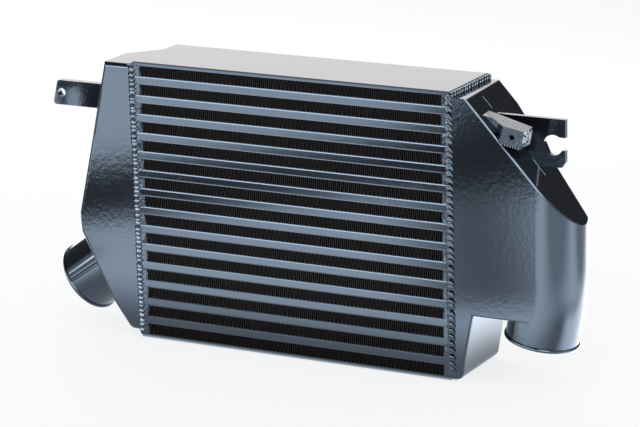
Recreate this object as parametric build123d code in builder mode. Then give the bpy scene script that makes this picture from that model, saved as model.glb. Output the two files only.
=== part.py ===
"""Bar-and-plate charge-air intercooler with two cast end tanks.

The core stands on its bottom side plate. The origin is the centre of the core's underside, +X runs
along the core towards the outlet tank, +Y towards the back and +Z up. All lengths are millimetres.
"""

import os
from math import asin, atan2, cos, hypot, radians, sin, tan

from build123d import *

# Core
core_length = 340.0
core_depth = 86.0
air_rows = 15
fin_height = 10.5
passage_height = 7.05
parting_plate_thickness = 0.6
side_plate_thickness = 3.7
bar_width = 8.0
bar_edge_chamfer = 0.6

# Fins, folded from thin sheet
air_fin_pitch = 4.3
air_fin_sheet = 0.4
air_fin_recess = 1.2
charge_fin_pitch = 6.0
charge_fin_sheet = 0.5
fin_end_clearance = 0.3

# Castings
tank_wall = 4.0
overrun = 12.0

# Inlet tank, to the left of the core
inlet_tank_top_reach = 34.0
inlet_tank_waist_reach = 70.0
inlet_tank_waist_height_share = 0.417
inlet_tank_top_drop = 3.4
inlet_tank_floor = 6.0
inlet_tank_foot_reach = 14.0
inlet_tank_waist_radius = 24.0
inlet_tank_foot_radius = 8.0
inlet_tank_front_edge_radius = 4.5
facet_top_depth_share = 0.0
facet_core_depth_share = 0.94
facet_low_height_share = 0.46

# Hose pipes
pipe_radius = 35.0
pipe_wall = 3.5
pipe_bead_rise = 1.5
pipe_bead_width = 4.0

# Inlet pipe
inlet_seat_tilt = 27.0
inlet_pipe_tilt = 36.0
inlet_seat_reach = 50.9
inlet_seat_height = 66.7
inlet_seat_rim = 3.5
inlet_pipe_length = 45.3
inlet_weld_leg = 2.6
weld_round_share = 0.9

# Mounting ear on the inlet tank
ear_reach = 109.5
ear_end_slant = 6.0
ear_root_reach = 36.0
ear_height = 25.0
ear_thickness = 7.0
ear_hole_radius = 4.3
ear_hole_inset = 10.5
ear_centre_height = 235.5
ear_plane_depth = -15.0
ear_corner_radius = 3.0

# Outlet tank, to the right of the core
outlet_tank_top_drop = 5.7
outlet_tank_top_reach = 17.5
outlet_slope_angle = 47.5
outlet_slope_side_fall_share = 0.07
outlet_tank_belly = 66.0
outlet_leg_reach = 22.5
outlet_leg_foot_reach = 10.5
outlet_leg_foot_radius = 9.0
outlet_back_taper_start = 35.0
outlet_back_cut_high = 1.0
outlet_back_cut_low = 6.0
outlet_ridge_radius = 2.0
outlet_leg_front_radius = 3.0
outlet_leg_back_radius = 5.0
outlet_belly_edge_radius = 2.0

# Outlet spout
spout_reach = 87.0
spout_tilt = 10.0
spout_bend_sink = 0.4
spout_end_height = 40.5
spout_bend_top = 115.0

# Grommet bracket on the outlet tank
bracket_front_depth = -9.0
bracket_thickness = 5.0
bracket_root_reach = 27.0
bracket_reach = 102.3
bracket_top_height = 255.5
bracket_bottom_height = 209.5
bracket_tip_radius = 6.0
bracket_heel_radius = 6.0
notch_radius = 9.7
notch_reach = 90.3
notch_height = 230.6
notch_mouth_top = 238.3
notch_mouth_bottom = 226.0
notch_mouth_radius = 3.0
notch_flat_share = 0.78
notch_flat_angle = 205.0

# Tapped block on the outlet tank
block_tilt = 10.0
block_thickness = 16.5
block_root_reach = 30.0
block_root_height = 259.7
block_root_back_depth = -15.5
block_root_front_depth = -38.0
block_elbow_reach = 47.2
block_elbow_depth = -35.0
block_left_reach = 58.1
block_right_reach = 79.6
block_front_depth = -50.3
block_back_depth = -29.6
block_bury = 12.0
tapped_hole_radius = 2.5
tapped_hole_depth = 14.0

# Weld beads
bead_radius = 3.6
bead_ripple_pitch = 4.9
bead_ripple_height = 0.9
corner_bead_radius = 6.2
floor_bead_radius = 5.2
ground_weld_width = 6.5
ground_weld_depth_share = 0.66
bead_end_gap = 4.0

# Places worked out from the sizes above
passage_pitch = passage_height + 2 * parting_plate_thickness
row_pitch = fin_height + passage_pitch
charge_rows = air_rows - 1
core_height = 2 * side_plate_thickness + air_rows * fin_height + charge_rows * passage_pitch
core_end = core_length / 2
core_face = core_depth / 2
inlet_tank_top = core_height - inlet_tank_top_drop
outlet_tank_top = core_height - outlet_tank_top_drop
spout_depth = pipe_radius - core_face
pipe_bore_radius = pipe_radius - pipe_wall
spout_straight_drop = outlet_tank_belly - spout_bend_sink - spout_end_height
spout_straight_length = spout_straight_drop / cos(radians(spout_tilt))


def air_row_floor(row):
    """Height of the underside of an air fin row, counted from the bottom."""
    return side_plate_thickness + row * row_pitch


def charge_row_floor(row):
    """Height of the underside of the bars of a charge passage, counted from the bottom."""
    return air_row_floor(row) + fin_height + parting_plate_thickness


def folded_sheet_outline(span, height, pitch, sheet):
    """Closed outline of a thin sheet folded into square waves along a span."""
    waves = int(span // pitch)
    leg_gap = (span - sheet) / (2 * waves - 1)
    half_sheet = sheet / 2
    upper = []
    lower = []
    for wave in range(waves):
        rise = half_sheet - span / 2 + 2 * wave * leg_gap
        fall = rise + leg_gap
        left_low = sheet if wave else 0
        right_low = sheet if wave < waves - 1 else 0
        upper += [(rise - half_sheet, left_low), (rise - half_sheet, height)]
        upper += [(fall + half_sheet, height), (fall + half_sheet, right_low)]
        lower += [(rise + half_sheet, 0), (rise + half_sheet, height - sheet)]
        lower += [(fall - half_sheet, height - sheet), (fall - half_sheet, 0)]
    return upper + lower[::-1]


def save(part, name):
    """Label a finished piece and write it under its node's name."""
    part.label = name
    export_step(part, f"parts/{name}.step")


os.makedirs("parts", exist_ok=True)

# Air fins: one folded sheet in each of the rows that the cooling air blows through
with BuildPart() as fin_sheet:
    with BuildSketch(Plane.XZ):
        with BuildLine():
            air_fin_span = core_length - 2 * (bar_width + fin_end_clearance)
            outline = folded_sheet_outline(air_fin_span, fin_height, air_fin_pitch, air_fin_sheet)
            Polyline(*outline, close=True)
        make_face()
    extrude(amount=core_face - air_fin_recess, both=True)

for row in range(air_rows):
    with BuildPart() as air_fin:
        with Locations((0, 0, air_row_floor(row))):
            add(fin_sheet.part)
    save(air_fin.part, f"air_fin_{row + 1:02d}")

# Bars that close each charge passage at the front and back
with BuildPart() as passage_bar:
    Box(core_length, bar_width, passage_height, align=(Align.CENTER, Align.MIN, Align.MIN))
    chamfer(passage_bar.edges().filter_by(Axis.X).group_by(Axis.Y)[0], bar_edge_chamfer)

for row in range(charge_rows):
    with BuildPart() as front_bar:
        with Locations((0, -core_face, charge_row_floor(row))):
            add(passage_bar.part)
    save(front_bar.part, f"front_bar_{row + 1:02d}")
    with BuildPart() as rear_bar:
        with Locations(Location((0, core_face, charge_row_floor(row)), (0, 0, 180))):
            add(passage_bar.part)
    save(rear_bar.part, f"rear_bar_{row + 1:02d}")

# Parting plates between the air rows and the charge passages
with BuildPart() as parting_plates:
    plate_floors = [air_row_floor(row) + fin_height for row in range(charge_rows)]
    plate_floors += [charge_row_floor(row) + passage_height for row in range(charge_rows)]
    with Locations(*[(0, 0, floor) for floor in plate_floors]):
        Box(
            core_length,
            core_depth,
            parting_plate_thickness,
            align=(Align.CENTER, Align.CENTER, Align.MIN),
        )
save(parting_plates.part, "parting_plates")

# Short bars that close each air row at its two ends
for side, name in ((-1, "left_end_bars"), (1, "right_end_bars")):
    with BuildPart() as end_bars:
        bar_middle = side * (core_end - bar_width / 2)
        with Locations(*[(bar_middle, 0, air_row_floor(row)) for row in range(air_rows)]):
            Box(
                bar_width,
                core_depth,
                fin_height,
                align=(Align.CENTER, Align.CENTER, Align.MIN),
            )
    save(end_bars.part, name)

# Folded sheets that stir the charge air inside its passages
with BuildPart() as charge_sheet:
    with BuildSketch(Plane.YZ):
        with BuildLine():
            charge_fin_span = core_depth - 2 * (bar_width + fin_end_clearance)
            outline = folded_sheet_outline(
                charge_fin_span, passage_height, charge_fin_pitch, charge_fin_sheet
            )
            Polyline(*outline, close=True)
        make_face()
    extrude(amount=core_end - fin_end_clearance, both=True)

with BuildPart() as charge_fins:
    with Locations(*[(0, 0, charge_row_floor(row)) for row in range(charge_rows)]):
        add(charge_sheet.part)
save(charge_fins.part, "charge_fins")

# Side plates under and over the stack
for floor, name in (
    (0, "bottom_side_plate"),
    (core_height - side_plate_thickness, "top_side_plate"),
):
    with BuildPart() as side_plate:
        with Locations((0, 0, floor)):
            Box(
                core_length,
                core_depth,
                side_plate_thickness,
                align=(Align.CENTER, Align.CENTER, Align.MIN),
            )
    save(side_plate.part, name)


def inlet_frame(tilt):
    """Plane at the middle of the inlet tank's slanted face, facing out and down by a tilt."""
    middle = (-core_end - inlet_seat_reach, 0, inlet_seat_height)
    angle = radians(tilt)
    return Plane(origin=middle, x_dir=(0, 1, 0), z_dir=(-cos(angle), 0, -sin(angle)))


def inlet_tank_form(inset):
    """Solid outer form of the inlet tank, or the form of its hollow when inset by the wall."""
    tilt = radians(inlet_seat_tilt)
    seat_half = pipe_radius + inlet_seat_rim
    seat_run = seat_half * sin(tilt)
    seat_rise = seat_half * cos(tilt)
    waist_height = core_height * inlet_tank_waist_height_share
    waist = (-core_end - inlet_tank_waist_reach, waist_height)
    seat_top = (-core_end - inlet_seat_reach - seat_run, inlet_seat_height + seat_rise)
    seat_low = (-core_end - inlet_seat_reach + seat_run, inlet_seat_height - seat_rise)
    foot = (-core_end - inlet_tank_foot_reach, inlet_tank_floor)
    facet_top_wall = Vector(
        -core_end - inlet_tank_top_reach,
        core_face * facet_top_depth_share,
        inlet_tank_top,
    )
    facet_top_core = Vector(-core_end, core_face * facet_core_depth_share, inlet_tank_top)
    facet_low = Vector(
        -core_end - inlet_tank_waist_reach,
        core_face,
        core_height * facet_low_height_share,
    )
    facet_normal = (facet_top_core - facet_top_wall).cross(facet_low - facet_top_wall).normalized()
    with BuildPart() as form:
        with BuildSketch(Plane.XZ) as side:
            with BuildLine():
                Polyline(
                    (-core_end + overrun, inlet_tank_top),
                    (-core_end - inlet_tank_top_reach, inlet_tank_top),
                    waist,
                    seat_top,
                    seat_low,
                    foot,
                    (-core_end + overrun, inlet_tank_floor),
                    close=True,
                )
            make_face()
            fillet(side.vertices().sort_by_distance(waist)[0], inlet_tank_waist_radius)
            fillet(side.vertices().sort_by_distance(foot)[0], inlet_tank_foot_radius)
            if inset:
                offset(amount=-inset, kind=Kind.INTERSECTION)
        extrude(amount=core_face - inset, both=True)
        split(
            bisect_by=Plane(origin=facet_top_wall - facet_normal * inset, z_dir=facet_normal),
            keep=Keep.BOTTOM,
        )
    return form.part


def hollow(outer, inner, side):
    """Cast shell: the outer form less the inner one, cut off square at the end of the core."""
    with BuildPart() as shell:
        add(outer)
        add(inner, mode=Mode.SUBTRACT)
        split(
            bisect_by=Plane(origin=(side * core_end, 0, 0), z_dir=(side, 0, 0)),
            keep=Keep.TOP,
        )
    return shell.part


# Inlet tank: one casting with its mounting ear, open to the core and to the inlet pipe
with BuildPart() as inlet_tank_outside:
    add(inlet_tank_form(0))
    fillet(inlet_tank_outside.edges().group_by(Axis.Y)[0], inlet_tank_front_edge_radius)
    ear_front = Plane(
        origin=(0, ear_plane_depth - ear_thickness / 2, 0), x_dir=(1, 0, 0), z_dir=(0, -1, 0)
    )
    ear_top = ear_centre_height + ear_height / 2
    ear_bottom = ear_centre_height - ear_height / 2
    with BuildSketch(ear_front) as ear:
        with BuildLine():
            Polyline(
                (-core_end - ear_root_reach, ear_top),
                (-core_end - ear_reach + ear_end_slant, ear_top),
                (-core_end - ear_reach, ear_bottom),
                (-core_end - ear_root_reach, ear_bottom),
                close=True,
            )
        make_face()
        fillet(ear.vertices().sort_by(Axis.X)[:2], ear_corner_radius)
        with Locations((-core_end - ear_reach + ear_hole_inset, ear_centre_height)):
            Circle(ear_hole_radius, mode=Mode.SUBTRACT)
    extrude(amount=-ear_thickness)

with BuildPart() as left_end_tank:
    add(hollow(inlet_tank_outside.part, inlet_tank_form(tank_wall), -1))
    with BuildSketch(inlet_frame(inlet_pipe_tilt)):
        Circle(pipe_bore_radius)
    extrude(amount=overrun, both=True, mode=Mode.SUBTRACT)
save(left_end_tank.part, "left_end_tank")


def pipe_profile_plane(seat):
    """Plane through a pipe's axis: its X runs across the pipe and its Y along it."""
    return Plane(origin=seat.origin, x_dir=seat.x_dir, z_dir=seat.x_dir.cross(seat.z_dir))


# Inlet pipe: turned, with a rolled bead at its open end and its root cut to the slanted face
inlet_seat = inlet_frame(inlet_seat_tilt)
inlet_run = inlet_frame(inlet_pipe_tilt)
with BuildPart() as inlet_pipe:
    with BuildSketch(pipe_profile_plane(inlet_run)):
        with BuildLine():
            bead_start = (pipe_radius, inlet_pipe_length - pipe_bead_width)
            bead_crest = (pipe_radius + pipe_bead_rise, inlet_pipe_length - pipe_bead_width / 2)
            bead_end = (pipe_radius, inlet_pipe_length)
            Polyline(
                bead_end,
                (pipe_bore_radius, inlet_pipe_length),
                (pipe_bore_radius, -overrun),
                (pipe_radius, -overrun),
                bead_start,
            )
            ThreePointArc(bead_start, bead_crest, bead_end)
        make_face()
    revolve(axis=Axis(inlet_run.origin, inlet_run.z_dir))
    split(bisect_by=inlet_seat, keep=Keep.TOP)
save(inlet_pipe.part, "inlet_pipe")

# Weld round the root of the inlet pipe
with BuildPart() as inlet_weld:
    with BuildSketch(inlet_run):
        Circle(pipe_radius + inlet_weld_leg)
        Circle(pipe_radius, mode=Mode.SUBTRACT)
    extrude(amount=overrun, both=True)
    split(bisect_by=inlet_seat, keep=Keep.TOP)
    split(bisect_by=inlet_seat.offset(inlet_weld_leg), keep=Keep.BOTTOM)
    crest = inlet_weld.edges().group_by(Axis(inlet_seat.origin, inlet_seat.z_dir))[-1]
    fillet(crest.sort_by(SortBy.LENGTH)[-1], inlet_weld_leg * weld_round_share)
save(inlet_weld.part, "inlet_weld")


def tangent_point(point, centre, radius):
    """Where the line from a point touches a circle, on the circle's back side, seen in plan."""
    run = centre[0] - point[0]
    rise = centre[1] - point[1]
    reach = hypot(run, rise)
    heading = atan2(rise, run) + asin(radius / reach)
    length = (reach**2 - radius**2) ** 0.5
    return (point[0] + length * cos(heading), point[1] + length * sin(heading))


def spout_end_place():
    """Centre of the spout's open end and the direction in which the hose leaves it."""
    tilt = radians(spout_tilt)
    bend_drop = spout_bend_top - spout_end_height - spout_straight_length * cos(tilt)
    bend_shift = bend_drop * tan(tilt / 2)
    end_reach = spout_reach - bend_shift - spout_straight_length * sin(tilt)
    outwards = Vector(-sin(tilt), 0, -cos(tilt))
    return Vector(core_end + end_reach, spout_depth, spout_end_height), outwards


def spout_run(radius, overlap):
    """Solid round bar along the spout, from its open end up past the sloped roof."""
    tilt = radians(spout_tilt)
    end, outwards = spout_end_place()
    bend_low = end - outwards * spout_straight_length
    bend_drop = spout_bend_top - bend_low.Z
    bend_high = Vector(core_end + spout_reach, spout_depth, spout_bend_top)
    with BuildPart() as run:
        with BuildLine() as route:
            Line(end + outwards * overlap, bend_low)
            TangentArc(bend_low, bend_high, tangent=-outwards)
            Line(bend_high, (bend_high.X, bend_high.Y, outlet_tank_top))
        with BuildSketch(Plane(origin=end + outwards * overlap, z_dir=-outwards)):
            Circle(radius)
        sweep(path=route.line)
    return run.part


def outlet_plan(shift, inset):
    """Plan outline of the wide part of the outlet tank, round which the spout is wrapped."""
    taper_start = (core_end + outlet_back_taper_start, core_face)
    spout_middle = (core_end + spout_reach - shift, spout_depth)
    touch = tangent_point(taper_start, spout_middle, pipe_radius)
    with BuildSketch(mode=Mode.PRIVATE) as plan:
        with BuildLine():
            Polyline(
                (core_end - overrun, -core_face),
                (spout_middle[0], -core_face),
                touch,
                taper_start,
                (core_end - overrun, core_face),
                close=True,
            )
        make_face()
        if inset:
            offset(amount=-inset, kind=Kind.INTERSECTION)
    return plan.sketch


def outlet_slope():
    """A point of the outlet tank's sloped roof, at its front top corner, and the roof's normal."""
    slope_normal = Vector(tan(radians(outlet_slope_angle)), outlet_slope_side_fall_share, 1).normalized()
    return Vector(core_end + outlet_tank_top_reach, -core_face, outlet_tank_top), slope_normal


def outlet_back_cut():
    """A point and the normal of the flat that breaks the edge of the sloped roof and back wall."""
    slope_point, slope_normal = outlet_slope()
    spout_middle = (core_end + spout_reach, spout_depth)
    wall_start = (core_end + outlet_back_taper_start, core_face)
    wall_end = tangent_point(wall_start, spout_middle, pipe_radius)
    wall_normal = Vector(wall_start[1] - wall_end[1], wall_end[0] - wall_start[0], 0).normalized()
    bisector = (slope_normal + wall_normal).normalized()
    flat_ends = []
    for corner, cut in ((wall_start, outlet_back_cut_high), (wall_end, outlet_back_cut_low)):
        foot = Vector(corner[0], corner[1], 0)
        fall = (foot - slope_point).dot(slope_normal) / slope_normal.Z
        flat_ends.append(foot - Vector(0, 0, fall) - bisector * cut)
    flat_run = (flat_ends[1] - flat_ends[0]).normalized()
    cut_normal = (bisector - flat_run * bisector.dot(flat_run)).normalized()
    return flat_ends[0], cut_normal


def outlet_tank_form(inset):
    """Solid outer form of the outlet tank, or the form of its hollow when inset by the wall."""
    slope_point, slope_normal = outlet_slope()
    cut_point, cut_normal = outlet_back_cut()
    shift = (spout_bend_top - outlet_tank_belly) * tan(radians(spout_tilt) / 2)
    bore_inset = pipe_wall if inset else 0
    with BuildPart() as form:
        with BuildSketch(Plane.XY.offset(spout_bend_top)):
            add(outlet_plan(0, inset))
        extrude(amount=outlet_tank_top - inset - spout_bend_top)
        with BuildSketch(Plane.XY.offset(outlet_tank_belly + inset)):
            add(outlet_plan(shift, inset))
        with BuildSketch(Plane.XY.offset(spout_bend_top)):
            add(outlet_plan(0, inset))
        loft(ruled=True)
        with BuildSketch(Plane.XZ) as leg:
            with BuildLine():
                foot = (core_end + outlet_leg_foot_reach, 0)
                Polyline(
                    (core_end - overrun, 0),
                    foot,
                    (core_end + outlet_leg_reach, outlet_tank_belly),
                    (core_end + outlet_leg_reach, spout_bend_top),
                    (core_end - overrun, spout_bend_top),
                    close=True,
                )
            make_face()
            fillet(leg.vertices().sort_by_distance(foot)[0], outlet_leg_foot_radius)
            if inset:
                offset(amount=-inset, kind=Kind.INTERSECTION)
        extrude(amount=core_face - inset, both=True)
        add(spout_run(pipe_radius - bore_inset, overrun if inset else 0))
        split(
            bisect_by=Plane(origin=slope_point - slope_normal * inset, z_dir=slope_normal),
            keep=Keep.BOTTOM,
        )
        split(
            bisect_by=Plane(origin=cut_point - cut_normal * inset, z_dir=cut_normal),
            keep=Keep.BOTTOM,
        )
    return form.part


def edge_near(part, place):
    """The edge whose middle lies nearest to a place."""
    return part.edges().sort_by_distance(place)[0]


# Outlet tank: one casting with its spout, its grommet bracket and its tapped block
block_tilt_angle = radians(block_tilt)
block_top = Plane(
    origin=(core_end + block_root_reach, 0, block_root_height),
    x_dir=(cos(block_tilt_angle), 0, -sin(block_tilt_angle)),
    z_dir=(sin(block_tilt_angle), 0, cos(block_tilt_angle)),
)
block_left = block_left_reach - block_root_reach
block_right = block_right_reach - block_root_reach
bracket_front = Plane(origin=(0, bracket_front_depth, 0), x_dir=(1, 0, 0), z_dir=(0, -1, 0))
ridge_run = (spout_reach - outlet_tank_top_reach) / 2
ridge_fall = ridge_run * tan(radians(outlet_slope_angle))

with BuildPart() as outlet_tank_outside:
    add(outlet_tank_form(0))
    slope_point, slope_normal = outlet_slope()
    ridge = edge_near(outlet_tank_outside, slope_point + Vector(ridge_run, 0, -ridge_fall))
    brow = edge_near(outlet_tank_outside, (slope_point.X, 0, outlet_tank_top))
    fillet((ridge, brow), outlet_ridge_radius)
    for face, radius in (
        (-core_face, outlet_leg_front_radius),
        (core_face, outlet_leg_back_radius),
    ):
        leg_middle = (core_end + outlet_leg_reach, face, outlet_tank_belly / 2)
        fillet(edge_near(outlet_tank_outside, leg_middle), radius)
    belly_middle = core_end + (outlet_leg_reach + spout_reach) / 2
    fillet(
        edge_near(outlet_tank_outside, (belly_middle, -core_face, outlet_tank_belly)),
        outlet_belly_edge_radius,
    )

with BuildPart() as bracket:
    with BuildSketch(mode=Mode.PRIVATE) as notch:
        with Locations((core_end + notch_reach, notch_height)):
            Circle(notch_radius)
        flat_angle = radians(notch_flat_angle)
        flat_distance = notch_radius * notch_flat_share
        flat_middle = (
            core_end + notch_reach + flat_distance * cos(flat_angle),
            notch_height + flat_distance * sin(flat_angle),
        )
        with Locations(flat_middle):
            Rectangle(
                2 * notch_radius,
                2 * notch_radius,
                rotation=notch_flat_angle,
                align=(Align.MIN, Align.CENTER),
                mode=Mode.SUBTRACT,
            )
    with BuildSketch(bracket_front) as plate:
        with BuildLine():
            Polyline(
                (core_end + bracket_root_reach, bracket_bottom_height),
                (core_end + bracket_reach, bracket_bottom_height),
                (core_end + bracket_reach, bracket_top_height),
                (core_end + bracket_root_reach, bracket_top_height),
                close=True,
            )
        make_face()
        with BuildLine():
            Polyline(
                (core_end + notch_reach, notch_mouth_bottom),
                (core_end + bracket_reach, notch_mouth_bottom),
                (core_end + bracket_reach, notch_mouth_top),
                (core_end + notch_reach, notch_mouth_top),
                close=True,
            )
        make_face(mode=Mode.SUBTRACT)
        tips = plate.vertices().group_by(Axis.X)[-1].sort_by(Axis.Y)
        fillet(tips[0], bracket_heel_radius)
        fillet(tips[1], notch_mouth_radius)
        fillet(tips[2], notch_mouth_radius)
        fillet(tips[3], bracket_tip_radius)
        add(notch.sketch, mode=Mode.SUBTRACT)
    extrude(amount=-bracket_thickness)

with BuildPart() as block:
    with BuildSketch(block_top):
        with BuildLine():
            Polyline(
                (-block_bury, block_root_back_depth),
                (block_right, block_back_depth),
                (block_right, block_front_depth),
                (block_left, block_front_depth),
                (block_elbow_reach - block_root_reach, block_elbow_depth),
                (-block_bury, block_root_front_depth),
                close=True,
            )
        make_face()
    extrude(amount=-block_thickness)
    hole_mouth = block_top.from_local_coords(
        Vector((block_left + block_right) / 2, block_front_depth, -block_thickness / 2)
    )
    with BuildSketch(Plane(origin=hole_mouth, z_dir=(0, 1, 0))):
        Circle(tapped_hole_radius)
    extrude(amount=tapped_hole_depth, mode=Mode.SUBTRACT)

with BuildPart() as spout_bead:
    spout_end, spout_outwards = spout_end_place()
    spout_frame = Plane(origin=spout_end, x_dir=(0, 1, 0), z_dir=spout_outwards)
    with BuildSketch(pipe_profile_plane(spout_frame)):
        with BuildLine():
            Polyline(
                (pipe_radius, -pipe_bead_width),
                (pipe_bore_radius, -pipe_bead_width),
                (pipe_bore_radius, 0),
                (pipe_radius, 0),
            )
            ThreePointArc(
                (pipe_radius, -pipe_bead_width),
                (pipe_radius + pipe_bead_rise, -pipe_bead_width / 2),
                (pipe_radius, 0),
            )
        make_face()
    revolve(axis=Axis(spout_end, spout_outwards))

with BuildPart() as outlet_casting:
    add(outlet_tank_outside.part)
    add(bracket.part)
    add(block.part)
    add(spout_bead.part)
save(hollow(outlet_casting.part, outlet_tank_form(tank_wall), 1), "right_end_tank")


def rippled_bead(start, along, across, length, radius, angle):
    """Weld bead laid in overlapping ripples: part of a round bar with a scalloped outline."""
    axis_start = Vector(*start)
    axis_along = Vector(*along)
    profile = Plane(
        origin=axis_start, x_dir=across, z_dir=Vector(*across).cross(axis_along)
    )
    ripples = max(1, round(length / bead_ripple_pitch))
    pitch = length / ripples
    valley = radius - bead_ripple_height
    with BuildPart() as bead:
        with BuildSketch(profile):
            with BuildLine():
                for ripple in range(ripples):
                    ThreePointArc(
                        (valley, ripple * pitch),
                        (radius, (ripple + 0.5) * pitch),
                        (valley, (ripple + 1) * pitch),
                    )
                Polyline((valley, length), (0, length), (0, 0), (valley, 0))
            make_face()
        revolve(axis=Axis(axis_start, axis_along), revolution_arc=angle)
    return bead.part


# Welds between the tanks and the core
inlet_bead_floor = inlet_tank_floor + bead_end_gap
inlet_bead_length = inlet_tank_top - bead_end_gap - inlet_bead_floor
outlet_bead_length = outlet_tank_top - 2 * bead_end_gap
cross_bead_length = core_depth - 2 * bead_end_gap
cross_bead_start = bead_end_gap - core_face

with BuildPart() as left_tank_weld:
    add(
        rippled_bead(
            (-core_end, -core_face, inlet_bead_floor),
            (0, 0, 1),
            (-1, 0, 0),
            inlet_bead_length,
            bead_radius,
            180,
        )
    )
    add(
        rippled_bead(
            (-core_end, core_face, inlet_bead_floor),
            (0, 0, 1),
            (1, 0, 0),
            inlet_bead_length - bead_radius - ground_weld_width,
            bead_radius,
            180,
        )
    )
    add(
        rippled_bead(
            (-core_end, cross_bead_start, inlet_tank_floor),
            (0, 1, 0),
            (0, 0, -1),
            cross_bead_length,
            floor_bead_radius,
            90,
        )
    )
    with BuildSketch(Plane.XZ.offset(core_face)):
        with BuildLine():
            Polyline(
                (-core_end, inlet_tank_top),
                (-core_end, core_height),
                (-core_end - ground_weld_width, inlet_tank_top),
                close=True,
            )
        make_face()
    extrude(amount=-core_depth * ground_weld_depth_share)
save(left_tank_weld.part, "left_tank_weld")

with BuildPart() as right_tank_weld:
    add(
        rippled_bead(
            (core_end, -core_face, bead_end_gap),
            (0, 0, 1),
            (-1, 0, 0),
            outlet_bead_length,
            bead_radius,
            180,
        )
    )
    add(
        rippled_bead(
            (core_end, core_face, bead_end_gap),
            (0, 0, 1),
            (1, 0, 0),
            outlet_bead_length,
            bead_radius,
            180,
        )
    )
    add(
        rippled_bead(
            (core_end, cross_bead_start, outlet_tank_top),
            (0, 1, 0),
            (0, 0, 1),
            cross_bead_length,
            corner_bead_radius,
            90,
        )
    )
save(right_tank_weld.part, "right_tank_weld")
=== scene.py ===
# %% [markdown]
# A bar-and-plate intercooler in gloss black powder coat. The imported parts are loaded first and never
# moved. What this script adds is what the eye looks for up close: fins folded with round crests,
# bars with soft brazed edges, welds laid in ripples, tool marks, and the coating itself.

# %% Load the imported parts
import random
from math import cos, pi, radians, sin

import bpy
from mathutils import Matrix, Quaternion, Vector


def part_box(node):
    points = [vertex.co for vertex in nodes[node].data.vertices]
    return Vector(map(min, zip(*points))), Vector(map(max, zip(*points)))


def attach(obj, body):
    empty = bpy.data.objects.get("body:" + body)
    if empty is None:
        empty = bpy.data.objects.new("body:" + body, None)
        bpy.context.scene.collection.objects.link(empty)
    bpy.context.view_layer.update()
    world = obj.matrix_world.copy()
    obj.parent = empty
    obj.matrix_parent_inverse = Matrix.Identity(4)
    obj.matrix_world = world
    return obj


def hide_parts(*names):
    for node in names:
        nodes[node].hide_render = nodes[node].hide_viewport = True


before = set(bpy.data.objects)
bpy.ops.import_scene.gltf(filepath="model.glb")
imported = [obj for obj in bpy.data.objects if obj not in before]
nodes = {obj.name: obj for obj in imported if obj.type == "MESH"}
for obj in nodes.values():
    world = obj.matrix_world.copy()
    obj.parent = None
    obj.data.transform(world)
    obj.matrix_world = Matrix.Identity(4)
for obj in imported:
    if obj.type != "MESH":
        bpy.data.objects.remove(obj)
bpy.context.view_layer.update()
mm = 0.001
print("nodes:", len(nodes))

# %% [markdown]
# The camera stands where the photographer stood: to the right of the front face and a little above
# the top. It could be turned by hand until the picture seems to fit, but then a wrong lens can hide a
# wrong distance. Here the angles and the distance are worked out from the corners of the core, so
# everything else in the picture falls into place. A long lens from three metres keeps the bars almost
# parallel.

# %% Camera
camera_azimuth = radians(27.93)
camera_elevation = radians(15.27)
camera_roll = radians(-1.20)
camera_distance = 2.976
camera_aim = Vector((0.0085, 0.0031, 0.1347))

towards_camera = Vector((
    sin(camera_azimuth) * cos(camera_elevation),
    -cos(camera_azimuth) * cos(camera_elevation),
    sin(camera_elevation),
))
camera_data = bpy.data.cameras.new("camera")
camera_data.lens = 172.15
camera_data.sensor_width = 36
camera_data.clip_end = 20
camera = bpy.data.objects.new("camera", camera_data)
camera.rotation_mode = "QUATERNION"
camera.location = camera_aim + towards_camera * camera_distance
camera.rotation_quaternion = (
    towards_camera.to_track_quat("Z", "Y") @ Quaternion((0, 0, 1), camera_roll)
)
bpy.context.scene.collection.objects.link(camera)
bpy.context.scene.camera = camera
print("camera at", [round(c, 3) for c in camera.location])

# %% [markdown]
# Three helpers serve the whole file. Screen colours are written as hex and turned to linear light
# once. A material is a new node tree whose shader keeps its plain numbers on its own sockets. A node
# is added by its type, with its settings, its input values and what it is linked from. All of this
# could be written out at each use, but then the few numbers that matter would be hard to find.

# %% Helpers for colours and nodes
def linear(hex_colour):
    """Linear RGBA from an sRGB hex colour such as '#1a1c20'."""
    channels = [int(hex_colour[i : i + 2], 16) / 255 for i in (1, 3, 5)]
    return tuple(((c + 0.055) / 1.055) ** 2.4 if c > 0.04045 else c / 12.92 for c in channels) + (1,)


def add_node(tree, kind, links=None, inputs=None, **settings):
    """Add a node; links maps an input's name or number to another node's output socket."""
    node = tree.nodes.new(kind)
    for name, value in settings.items():
        setattr(node, name, value)
    for key, value in (inputs or {}).items():
        node.inputs[key].default_value = value
    for key, source in (links or {}).items():
        tree.links.new(source, node.inputs[key])
    return node


def new_material(name, colour, **sockets):
    """A material with its shader's plain values set, and the tree and shader to build on."""
    material = bpy.data.materials.new(name)
    material.use_nodes = True
    shader = material.node_tree.nodes["Principled BSDF"]
    shader.inputs["Base Color"].default_value = linear(colour)
    for key, value in sockets.items():
        shader.inputs[key.replace("_", " ")].default_value = value
    return material, material.node_tree, shader


# %% [markdown]
# Powder coat is sprayed on as dry plastic dust and baked until it flows. It ends up as a thick glossy
# skin over a blue-black ground, so it looks slate where it mirrors something bright and nearly black
# where it mirrors nothing. Its orange peel is a slow wave, from a few millimetres to two centimetres
# long and a few hundredths of a millimetre high. It could be modelled, but it is far too low to
# change an outline, so it is a bump. Two noise patterns in object space keep their size on every
# piece: the peel, and a finer grain for the ground under the coat.

# %% Powder coat
white = linear("#ffffff")
# A usual coat has an IOR of 1.5. On the real one the mirror image is stronger and bluer than that.
coat_ior = 1.8
coat_tint = linear("#d4ebff")


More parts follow.
